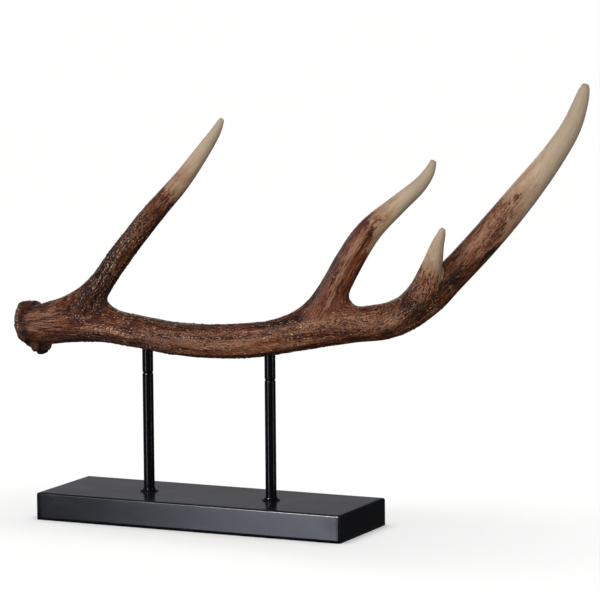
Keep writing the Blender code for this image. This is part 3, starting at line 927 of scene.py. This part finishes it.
    wear = worn * 0.12 + pearl.ramp(0.4, 0.9) * 0.1
    roughness = (look["roughness"] - wear + (mottle - 0.5) * 0.3).clamped()
    rise = height * 1.4 * (1 - worn * 0.8) + (1 - dots) * (1 - worn) * 0.5
    return make.done(
        Base_Color=colour, Roughness=roughness, Specular_IOR_Level=look["specular"],
        Normal=make.bump(rise, look["bump"], look["bumpDepth"]),
    )


standPlan = {
    "baseLength": 306.4, "baseWidth": 100.0, "baseHeight": 25.0, "sheet": 1.5,
    "foldRadius": 2.2, "foldSteps": 4, "cell": 4.0, "sideCells": 8,
    # waves in the sheet: depth, lump sizes and seeds; the lip's own lift
    "wave": 0.22, "dish": (55.0, 5), "ripple": (21.0, 6), "lipWave": 0.15, "lipLumps": (16.0, 8),
    "postSpacing": 124.0, "postRadius": 5.0, "bore": 3.5, "jointHeight": 134.0, "mouthChamfer": 0.35,
    "neckRadius": 4.5, "neckHeight": 0.9, "spigot": 15.0, "pinTop": 168.7, "chamfer": 0.6,
    "gap": 0.3, "ringRadius": 8.2, "ringHeight": 2.4, "ringEdge": 0.6, "ringWobble": 0.22, "turns": 72,
}


def foldSpots(flat):
    # where the fold's cell edges lie, from the end of the flat to the corner
    radius, steps = standPlan["foldRadius"], standPlan["foldSteps"]
    return [flat + radius * math.tan(math.radians(45 * step / steps)) for step in range(steps + 1)]


def sideSpots(half):
    # cell edges across one side: even in the flat, closer together in the folds
    flat = half - standPlan["foldRadius"]
    fold = foldSpots(flat)
    count = max(2, round(2 * flat / standPlan["cell"]))
    middle = [-flat + 2 * flat * index / count for index in range(1, count)]
    return [-spot for spot in reversed(fold)] + middle + fold


def makeBaseCover(material):
    # the folded sheet box, open below, with slight waves in the sheet and along its lip
    plan = standPlan
    half = (plan["baseLength"] / 2, plan["baseWidth"] / 2)
    height = plan["baseHeight"]
    radius = plan["foldRadius"]
    across = [sideSpots(side) for side in half]
    flatTop = height - radius
    up = [flatTop * index / plan["sideCells"] for index in range(plan["sideCells"])] + foldSpots(flatTop)
    shape = bmesh.new()
    made = {}

    def vertAt(x, y, z):
        key = (round(x, 4), round(y, 4), round(z, 4))
        if key not in made:
            inner = Vector((
                max(-half[0] + radius, min(half[0] - radius, x)),
                max(-half[1] + radius, min(half[1] - radius, y)),
                min(flatTop, z),
            ))
            away = Vector((x, y, z)) - inner
            made[key] = shape.verts.new((inner + away.normalized() * radius) * mm)
        return made[key]

    def addSheet(rows, columns, spot):
        for a, b in zip(rows, rows[1:]):
            for c, d in zip(columns, columns[1:]):
                shape.faces.new([vertAt(*spot(*cell)) for cell in ((a, c), (b, c), (b, d), (a, d))])

    addSheet(across[0], across[1], lambda a, c: (a, c, height))
    for side in (-1, 1):
        addSheet(across[0], up, lambda a, c: (a, side * half[1], c))
        addSheet(across[1], up, lambda a, c: (side * half[0], a, c))
    mesh = meshFrom(shape, "baseCover")

    points = readPoints(mesh)
    normals = readNormals(mesh)
    fromEdge = np.minimum(half[0] - np.abs(points[:, 0]), half[1] - np.abs(points[:, 1]))
    (dishSize, dishSeed), (rippleSize, rippleSeed) = plan["dish"], plan["ripple"]
    lipSize, lipSeed = plan["lipLumps"]
    dish = lumps(points / dishSize, dishSeed) + 0.4 * lumps(points / rippleSize, rippleSeed)
    inward = -plan["wave"] * (0.4 + 0.6 * dish) * np.where(fromEdge > plan["cell"], 1.0, 0.45)
    lip = (points[:, 2] < 3) * plan["lipWave"] * lumps(points / lipSize, lipSeed)
    points += normals * np.minimum(inward, 0.0)[:, None]
    points[:, 2] = np.where(points[:, 2] < 0.01, np.maximum(0.0, lip), points[:, 2])
    writePoints(mesh, points)
    mesh.shade_smooth()
    cover = addObject("baseCover", mesh, material)
    wall = cover.modifiers.new("sheet", "SOLIDIFY")
    wall.thickness = plan["sheet"] * mm
    wall.offset = -1
    wall.use_even_offset = True
    litWith(cover, "stand")
    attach(cover, "root")
    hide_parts("base_cover")
    return cover


def turnPiece(name, profile, x, material, closed=True, seed=None):
    # a lathe-turned piece from radius and height pairs, round the post's axis; a seed roughens its skirt
    steps = standPlan["turns"]
    shape = bmesh.new()
    rings = []
    for radius, height in profile:
        if radius == 0.0:
            rings.append([shape.verts.new((x * mm, 0.0, height * mm))] * steps)
            continue
        angles = [math.tau * index / steps for index in range(steps)]
        spots = [(x + radius * math.cos(angle), radius * math.sin(angle), height) for angle in angles]
        rings.append([shape.verts.new([value * mm for value in spot]) for spot in spots])
    pairs = list(zip(rings, rings[1:]))
    if closed:
        pairs.append((rings[-1], rings[0]))
    for lower, upper in pairs:
        for index in range(steps):
            after = (index + 1) % steps
            loop = [lower[index], lower[after], upper[after], upper[index]]
            loop = [vert for spot, vert in enumerate(loop) if vert not in loop[:spot]]
            if len(loop) > 2:
                shape.faces.new(loop)
    mesh = meshFrom(shape, name)
    if seed is not None:
        points = readPoints(mesh)
        normals = readNormals(mesh)
        fromPost = np.hypot(points[:, 0] - x, points[:, 1]) - standPlan["postRadius"]
        wobble = standPlan["ringWobble"] * smoothStep(fromPost, 0.6, 1.2) * lumps(points / 1.6, seed)
        points += normals * wobble[:, None]
        points[:, 2] = np.maximum(points[:, 2], standPlan["baseHeight"] + 0.05)
        writePoints(mesh, points)
    mesh.shade_smooth()
    mesh.set_sharp_from_angle(angle=math.radians(50))
    piece = addObject(name, mesh, material)
    litWith(piece, "stand")
    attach(piece, "root")
    return piece


def makePosts(material):
    plan = standPlan
    gap, chamfer, mouth = plan["gap"], plan["chamfer"], plan["mouthChamfer"]
    outer, bore, neck = plan["postRadius"], plan["bore"], plan["neckRadius"]
    foot = plan["baseHeight"] + gap
    joint = plan["jointHeight"]
    tube = [
        (outer, foot), (outer, joint - mouth * 4), (outer, joint - mouth * 2),
        (outer - 0.12, joint - mouth), (outer - mouth, joint), (bore, joint), (bore, foot),
    ]
    start = joint + gap
    low = start - plan["spigot"]
    shoulder = start + plan["neckHeight"]
    top = plan["pinTop"]
    pinShape = [
        (0.0, low), (bore - gap, low), (bore - gap, start), (neck, start), (neck, shoulder),
        (outer - 0.25, shoulder + 0.3), (outer, shoulder + chamfer), (outer, shoulder + chamfer * 2),
        (outer, top - chamfer * 2), (outer, top - chamfer), (outer - chamfer, top), (0.0, top),
    ]
    inner, reach, rise = outer + gap, plan["ringRadius"], plan["ringHeight"]
    weld = [(inner, foot), (reach, foot)]
    for step in range(9):
        angle = math.radians(90 * step / 8)
        radius = reach - (reach - inner - 0.4) * math.sin(angle)
        weld.append((radius, foot + rise - (rise - plan["ringEdge"]) * math.cos(angle)))
    weld.append((inner, foot + rise))

    for side, x in (("left", -plan["postSpacing"] / 2), ("right", plan["postSpacing"] / 2)):
        post = turnPiece("post" + side.title(), tube, x, material)
        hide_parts("post_" + side)
        pin = turnPiece("pin" + side.title(), pinShape, x, material, closed=False)
        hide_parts("pin_" + side)
        ring = turnPiece("footRing" + side.title(), weld, x, material, seed=60 + len(side))
        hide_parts("foot_ring_" + side)
    print("posts, pins and weld rings done")


standLook = {
    "paint": tone(12, 13, 15),
    "dust": tone(40, 42, 46),
    "roughness": 0.2,
    "grain": 0.0003,
    "specular": 0.5,
    "specks": 1.0,
}
postLook = {
    **standLook, "paint": tone(8, 8, 9), "dust": tone(20, 21, 23),
    "specular": 0.35, "roughness": 0.13, "specks": 0.0,
}
bottomLook = {**standLook, "roughness": 0.5}


def blackPaint(name, look):
    # sprayed semi-gloss black: fine orange peel, faint dust and rubbed patches
    make = newFinish(name)
    place = make.node("ShaderNodeTexCoord", output=3)
    peel = make.noise(place, 900.0, 2.0)
    blots = make.noise(place, 34.0, 4.0, 0.6)
    rubs = make.noise(make.scaled(place, (30.0, 90.0, 60.0)), 1.0, 3.0)
    specks = make.beads(place, 420.0).ramp(0.16, 0.05) * blots.ramp(0.5, 0.7) * look["specks"]
    dust = (blots.ramp(0.45, 0.8) * 0.3 + specks * 0.6).clamped()
    colour = make.mixed(dust, look["paint"], look["dust"])
    roughness = (look["roughness"] + (blots - 0.5) * 0.07 + rubs.ramp(0.5, 0.8) * 0.03).clamped()
    normal = make.bump(peel * 0.5 + blots * 0.6, 0.35, look["grain"])
    return make.done(
        Base_Color=colour, Roughness=roughness, Normal=normal, Specular_IOR_Level=look["specular"],
    )


stagePlan = {
    "floor": tone(246, 246, 245),
    "floorCloud": tone(225, 225, 222),
    "floorReach": 40.0,
    "floorSun": 3.4, "sunSoftness": 70.0,
    "worldDim": (0.042, 0.044, 0.047, 1.0),
    "worldGlow": (0.285, 0.285, 0.305, 1.0),
    "glowFrom": (215.0, 8.0),       # azimuth and elevation of the lighter part of the room
    "glowSpread": (0.55, 0.95),     # how near to that direction it starts and is full
    "glowTop": (0.31, 0.19),        # it is full below the second height and gone above the first
    "aim": (0.06, 0.0, 0.18),
    "tints": {
        "warm": (1.0, 0.98, 0.95), "mild": (1.0, 0.98, 0.96), "plain": (1.0, 0.99, 0.98),
        "white": (1.0, 1.0, 1.0), "cold": (0.89, 0.94, 1.1),
    },
    # name, what it lights, azimuth, elevation, distance, width, height, power, tint
    "boxes": [
        ("key", "antler", 12, 21, 2.4, 1.6, 1.0, 41, "warm"),
        ("sheen", "stand", 12, 21, 2.4, 1.6, 1.0, 6, "warm"),
        ("panel", "both", -22.6, 5, 2.5, 0.42, 2.2, 15, "cold"),
        ("glint", "stand", -25, 40, 2.4, 0.5, 0.8, 60, "plain"),
        ("strip", "both", 88, 0, 2.4, 0.3, 1.6, 5, "white"),
        ("backFill", "antler", 205, 14, 2.6, 2.4, 1.4, 40, "mild"),
        ("rightFill", "antler", 118, 14, 2.6, 1.2, 1.4, 14, "mild"),
        ("leftFill", "antler", -75, 14, 2.6, 1.2, 1.4, 14, "mild"),
    ],
}


def direction(azimuth, elevation):
    # azimuth 0 is straight in front, positive towards +X
    turn, rise = math.radians(azimuth), math.radians(elevation)
    return Vector((math.sin(turn) * math.cos(rise), -math.cos(turn) * math.cos(rise), math.sin(rise)))


def softBox(name, toward, distance, width, height, power, tint):
    # a rectangular lamp that stands off in one direction and faces the part
    lamp = bpy.data.lights.new(name, "AREA")
    lamp.shape = "RECTANGLE"
    lamp.size = width
    lamp.size_y = height
    lamp.energy = power
    lamp.color = stagePlan["tints"][tint]
    holder = addObject(name, lamp)
    holder.location = Vector(stagePlan["aim"]) + toward * distance
    holder.rotation_euler = (-toward).to_track_quat("-Z", "Y").to_euler()
    return holder


def setStage():
    plan = stagePlan
    make = newFinish("paleFloor")
    cloud = make.noise(make.node("ShaderNodeTexCoord", output=3), 2.0, 3.0)
    colour = make.mixed(cloud * 0.04, plan["floor"], plan["floorCloud"])
    mesh = bpy.data.meshes.new("floor")
    reach = plan["floorReach"]
    spots = [(-reach, -reach, 0), (reach, -reach, 0), (reach, reach, 0), (-reach, reach, 0)]
    mesh.from_pydata(spots, [], [(0, 1, 2, 3)])
    floor = addObject("floor", mesh, make.done(Base_Color=colour, Roughness=0.9))
    floor.visible_diffuse = False       # keeps the floor's glare off the dark underside
    floor.visible_glossy = False

    sun = bpy.data.lights.new("floorSun", "SUN")
    sun.energy = plan["floorSun"]
    sun.angle = math.radians(plan["sunSoftness"])
    onlyFloor = bpy.data.collections.new("litBySun")
    onlyFloor.objects.link(floor)
    addObject("floorSun", sun).light_linking.receiver_collection = onlyFloor
    for name, lights, azimuth, elevation, *lamp in plan["boxes"]:
        holder = softBox(name, direction(azimuth, elevation), *lamp)
        holder.light_linking.receiver_collection = litPieces[lights]
    setWorld()
    bpy.context.scene.view_settings.view_transform = "Standard"


def setWorld():
    # a dim room that is a little lighter behind the stand
    plan = stagePlan
    world = bpy.data.worlds.new("studio")
    make = Finish(world)
    place = make.node("ShaderNodeTexCoord")
    sockets = {0: place, 1: direction(*plan["glowFrom"])}
    toward = make.node("ShaderNodeVectorMath", {"operation": "DOT_PRODUCT"}, sockets, output=1)
    height = make.node("ShaderNodeSeparateXYZ", None, {0: place}, output=2)
    share = toward.ramp(*plan["glowSpread"]) * height.ramp(*plan["glowTop"])
    glow = make.mixed(share, plan["worldDim"], plan["worldGlow"])
    background = make.node("ShaderNodeBackground", None, {"Color": glow})
    make.node("ShaderNodeOutputWorld", None, {"Surface": background}, output=None)
    bpy.context.scene.world = world


cameraPlan = {
    "azimuth": 25.25, "elevation": 7.1, "roll": -0.45, "distance": 3.3436,
    "aimRight": 0.082, "aimUp": 0.2026, "lens": 219.95, "sensor": 36.0,
}


def setCamera():
    plan = cameraPlan
    lean = math.radians(plan["roll"])
    back = direction(plan["azimuth"], plan["elevation"])
    level = direction(plan["azimuth"] + 90, 0)
    upright = back.cross(level)
    right = level * math.cos(lean) + upright * math.sin(lean)
    up = upright * math.cos(lean) - level * math.sin(lean)
    data = bpy.data.cameras.new("camera")
    data.lens = plan["lens"]
    data.sensor_width = plan["sensor"]
    data.clip_end = 100.0
    camera = addObject("camera", data)
    matrix = Matrix((right, up, back)).transposed().to_4x4()
    matrix.translation = right * plan["aimRight"] + up * plan["aimUp"] + back * plan["distance"]
    camera.matrix_world = matrix
    bpy.context.scene.camera = camera


setCamera()
setStage()
print("stage and camera set")
makeAntler(antlerMaterial())
makeBaseCover(blackPaint("standPaint", standLook))
makePosts(blackPaint("postPaint", postLook))
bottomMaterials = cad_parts["base_bottom_plate"].data.materials
bottomMaterials.clear()
bottomMaterials.append(blackPaint("bottomPaint", bottomLook))
print("stand done")
